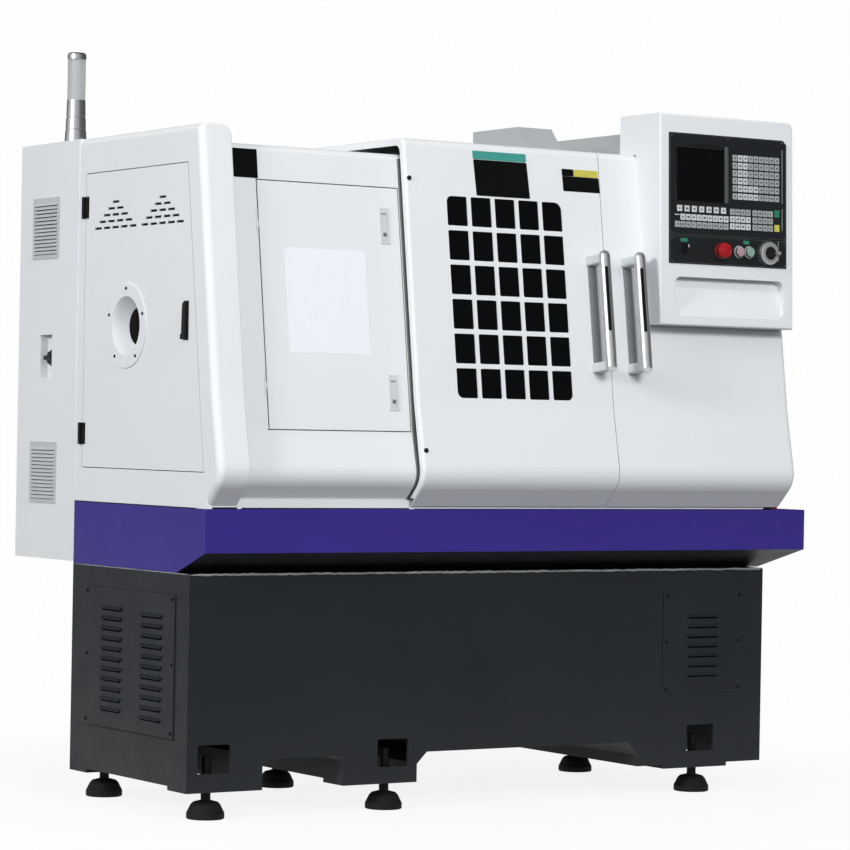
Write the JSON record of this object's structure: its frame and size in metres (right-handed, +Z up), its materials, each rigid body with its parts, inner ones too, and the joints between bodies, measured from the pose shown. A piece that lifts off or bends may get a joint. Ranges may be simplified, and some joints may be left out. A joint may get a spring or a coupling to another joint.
{
  "type": "cnc turning lathe",
  "caption": "Enclosed flat-bed turning lathe with sliding doors, operator control box, chip tray, base cabinet on levelling feet and a signal lamp.",
  "frame": {"origin": "floor point under the centre of the bounding box", "axes": "+X along the spindle from the headstock end to the tailstock end, +Y from the operator's side to the back, +Z up"},
  "size_m": [1.831, 1.1254, 1.889],
  "materials": {
    "cover_white": "smooth satin paint",
    "tray_blue": "satin paint",
    "base_grey": "fine textured paint",
    "foot_black": "matt",
    "cast_iron": "machined and painted casting",
    "ground_steel": "ground",
    "hardened_steel": "hardened",
    "polished_bar": "satin anodised",
    "black_plastic": "fine grain",
    "black_steel": "satin black",
    "panel_black": "smooth",
    "key_grey": "smooth",
    "screen_dark": "gloss",
    "stop_red": "gloss",
    "start_green": "gloss",
    "dial_metal": "turned",
    "window_clear": "clear sheet",
    "lamp_clear": "clear lens",
    "lamp_metal": "satin",
    "belt_rubber": "ribbed",
    "motor_black": "satin paint",
    "tank_grey": "satin paint",
    "unit_grey": "moulded housings"
  },
  "bodies": {
    "frame": {"machine_base": "base_grey", "levelling_feet": "foot_black", "chip_tray": "tray_blue", "left_end_cover": "cover_white", "headstock_cover": "cover_white", "rear_guard": "cover_white", "door_sill": "cover_white", "fixed_hinge_halves": "black_steel", "electrical_cabinet": "cover_white", "electrical_equipment": "unit_grey", "lamp_housing": "lamp_metal", "lamp_lens": "lamp_clear", "bed": "cast_iron", "headstock": "cast_iron", "main_motor": "motor_black", "drive_belt": "belt_rubber", "z_motor": "motor_black", "coolant_unit": "tank_grey"},
    "spindle_unit": {"spindle": "ground_steel", "chuck_body": "ground_steel"},
    "jaw_1": {"chuck_jaw_1": "hardened_steel"},
    "jaw_2": {"chuck_jaw_2": "hardened_steel"},
    "jaw_3": {"chuck_jaw_3": "hardened_steel"},
    "motor_rotor": {"motor_pulley": "ground_steel"},
    "carriage": {"saddle": "cast_iron"},
    "z_feed_screw": {"z_screw": "ground_steel"},
    "cross_carriage": {"cross_slide": "cast_iron"},
    "x_feed_screw": {"x_screw": "ground_steel"},
    "turret": {"turret_head": "ground_steel", "cutting_tools": "hardened_steel"},
    "tailstock": {"tailstock_body": "cast_iron"},
    "tail_quill": {"quill": "ground_steel"},
    "tail_handwheel": {"tail_wheel": "ground_steel"},
    "quill_lever": {"quill_lock": "black_steel"},
    "clamp_lever": {"tail_clamp": "black_steel"},
    "end_panel": {"end_door": "cover_white", "spindle_guide": "cover_white", "end_door_fittings": "black_steel"},
    "end_lever": {"end_lock_lever": "black_steel"},
    "access_panel": {"access_door": "cover_white", "access_latch_frames": "black_plastic"},
    "lower_paddle": {"lower_latch_lever": "black_plastic"},
    "upper_paddle": {"upper_latch_lever": "black_plastic"},
    "cabinet_panel": {"cabinet_door": "cover_white"},
    "cabinet_key": {"cabinet_lock_knob": "black_steel"},
    "power_switch": {"main_switch_knob": "black_plastic"},
    "left_slider": {"left_door": "cover_white", "window_glass": "window_clear", "left_door_handle": "polished_bar"},
    "right_slider": {"right_door": "cover_white", "right_door_handle": "polished_bar", "control_box": "cover_white", "control_panel": "panel_black", "display": "screen_dark", "panel_keys": "key_grey"},
    "estop": {"emergency_stop": "stop_red"},
    "stop_key": {"stop_button": "stop_red"},
    "start_key": {"start_button": "start_green"},
    "mode_knob": {"mode_selector": "black_plastic"},
    "pulse_dial": {"hand_dial": "dial_metal"}
  },
  "joints": [
    {"name": "spindle_spin", "type": "hinge", "parent": "frame", "child": "spindle_unit", "pos_m": [-0.5545, -0.06027, 1.183], "axis": [1, 0, 0], "continuous": true},
    {"name": "motor_spin", "type": "hinge", "parent": "frame", "child": "motor_rotor", "pos_m": [-0.5545, -0.06027, 0.285], "axis": [1, 0, 0], "continuous": true},
    {"name": "jaw_1_slide", "type": "slide", "parent": "spindle_unit", "child": "jaw_1", "axis": [0, 0, 1], "range_m": [-0.022, 0.006]},
    {"name": "jaw_2_slide", "type": "slide", "parent": "spindle_unit", "child": "jaw_2", "axis": [0, -0.866, -0.5], "range_m": [-0.022, 0.006]},
    {"name": "jaw_3_slide", "type": "slide", "parent": "spindle_unit", "child": "jaw_3", "axis": [0, 0.866, -0.5], "range_m": [-0.022, 0.006]},
    {"name": "carriage_slide", "type": "slide", "parent": "frame", "child": "carriage", "axis": [1, 0, 0], "range_m": [-0.13, 0.26]},
    {"name": "z_screw_spin", "type": "hinge", "parent": "frame", "child": "z_feed_screw", "pos_m": [0.0955, -0.29027, 0.905], "axis": [1, 0, 0], "continuous": true},
    {"name": "cross_slide_travel", "type": "slide", "parent": "carriage", "child": "cross_carriage", "axis": [0, -1, 0], "range_m": [-0.075, 0.08]},
    {"name": "x_screw_spin", "type": "hinge", "parent": "carriage", "child": "x_feed_screw", "pos_m": [0.1355, -0.17527, 1.011], "axis": [0, 1, 0], "continuous": true},
    {"name": "turret_index", "type": "hinge", "parent": "cross_carriage", "child": "turret", "pos_m": [0.1355, -0.25027, 1.15], "axis": [0, 0, 1], "continuous": true},
    {"name": "tailstock_slide", "type": "slide", "parent": "frame", "child": "tailstock", "axis": [1, 0, 0], "range_m": [-0.25, 0]},
    {"name": "handwheel_turn", "type": "hinge", "parent": "tailstock", "child": "tail_handwheel", "pos_m": [0.7455, -0.06027, 1.183], "axis": [1, 0, 0], "range_deg": [0, 2880]},
    {"name": "quill_slide", "type": "slide", "parent": "tailstock", "child": "tail_quill", "axis": [-1, 0, 0], "range_m": [0, 0.08]},
    {"name": "quill_lever_turn", "type": "hinge", "parent": "tailstock", "child": "quill_lever", "pos_m": [0.5955, -0.06027, 1.253], "axis": [0, 0, 1], "range_deg": [-35, 50]},
    {"name": "clamp_lever_turn", "type": "hinge", "parent": "tailstock", "child": "clamp_lever", "pos_m": [0.6955, 0.09973, 1.008], "axis": [0, 1, 0], "range_deg": [-30, 60]},
    {"name": "end_door_hinge", "type": "hinge", "parent": "frame", "child": "end_panel", "pos_m": [-0.909, 0.17273, 1.2], "axis": [0, 0, -1], "range_deg": [0, 110]},
    {"name": "end_lock_turn", "type": "hinge", "parent": "end_panel", "child": "end_lever", "pos_m": [-0.912, -0.36327, 1.152], "axis": [0, -1, 0], "range_deg": [0, 55]},
    {"name": "access_door_hinge", "type": "hinge", "parent": "frame", "child": "access_panel", "pos_m": [-0.746, -0.44601, 1.20375], "axis": [0, -0.1363, -0.9907], "range_deg": [0, 95]},
    {"name": "lower_latch_lift", "type": "hinge", "parent": "access_panel", "child": "lower_paddle", "pos_m": [-0.3865, -0.46928, 1.05298], "axis": [-1, 0, 0], "range_deg": [0, 40], "stiffness_Nm_per_rad": 0.05, "springref_deg": -17.19},
    {"name": "upper_latch_lift", "type": "hinge", "parent": "access_panel", "child": "upper_paddle", "pos_m": [-0.3865, -0.41273, 1.46398], "axis": [-1, 0, 0], "range_deg": [0, 40], "stiffness_Nm_per_rad": 0.05, "springref_deg": -17.19},
    {"name": "cabinet_door_hinge", "type": "hinge", "parent": "frame", "child": "cabinet_panel", "pos_m": [-0.2105, 0.54773, 1.126], "axis": [0, 0, -1], "range_deg": [0, 120]},
    {"name": "cabinet_lock_turn", "type": "hinge", "parent": "cabinet_panel", "child": "cabinet_key", "pos_m": [-0.8445, 0.54473, 1.126], "axis": [0, 1, 0], "range_deg": [0, 90]},
    {"name": "main_switch_turn", "type": "hinge", "parent": "frame", "child": "power_switch", "pos_m": [-0.8905, 0.37973, 1.108], "axis": [-1, 0, 0], "range_deg": [0, 90]},
    {"name": "left_door_slide", "type": "slide", "parent": "frame", "child": "left_slider", "axis": [1, 0, 0], "range_m": [-0.45, 0]},
    {"name": "right_door_slide", "type": "slide", "parent": "frame", "child": "right_slider", "axis": [1, 0, 0], "range_m": [0, 0.26]},
    {"name": "estop_press", "type": "slide", "parent": "right_slider", "child": "estop", "axis": [0, 0.9996, -0.0295], "range_m": [0, 0.0028]},
    {"name": "stop_press", "type": "slide", "parent": "right_slider", "child": "stop_key", "axis": [0, 0.9996, -0.0295], "range_m": [0, 0.0025], "stiffness_N_per_m": 400, "springref_m": -0.001},
    {"name": "start_press", "type": "slide", "parent": "right_slider", "child": "start_key", "axis": [0, 0.9996, -0.0295], "range_m": [0, 0.0025], "stiffness_N_per_m": 400, "springref_m": -0.001},
    {"name": "mode_turn", "type": "hinge", "parent": "right_slider", "child": "mode_knob", "pos_m": [0.4555, -0.53748, 1.41644], "axis": [0, 0.9996, -0.0295], "range_deg": [-60, 60]},
    {"name": "dial_turn", "type": "hinge", "parent": "right_slider", "child": "pulse_dial", "pos_m": [0.729, -0.53748, 1.41644], "axis": [0, 0.9996, -0.0295], "continuous": true}
  ],
  "couplings": [
    {"joint": "motor_spin", "follows": "spindle_spin", "ratio": 1.4839},
    {"joint": "jaw_2_slide", "follows": "jaw_1_slide", "ratio": 1},
    {"joint": "jaw_3_slide", "follows": "jaw_1_slide", "ratio": 1},
    {"joint": "z_screw_spin", "follows": "carriage_slide", "rad_per_m": 628.32},
    {"joint": "x_screw_spin", "follows": "cross_slide_travel", "rad_per_m": 1256.6},
    {"joint": "quill_slide", "follows": "handwheel_turn", "m_per_rad": 0.0015915}
  ]
}
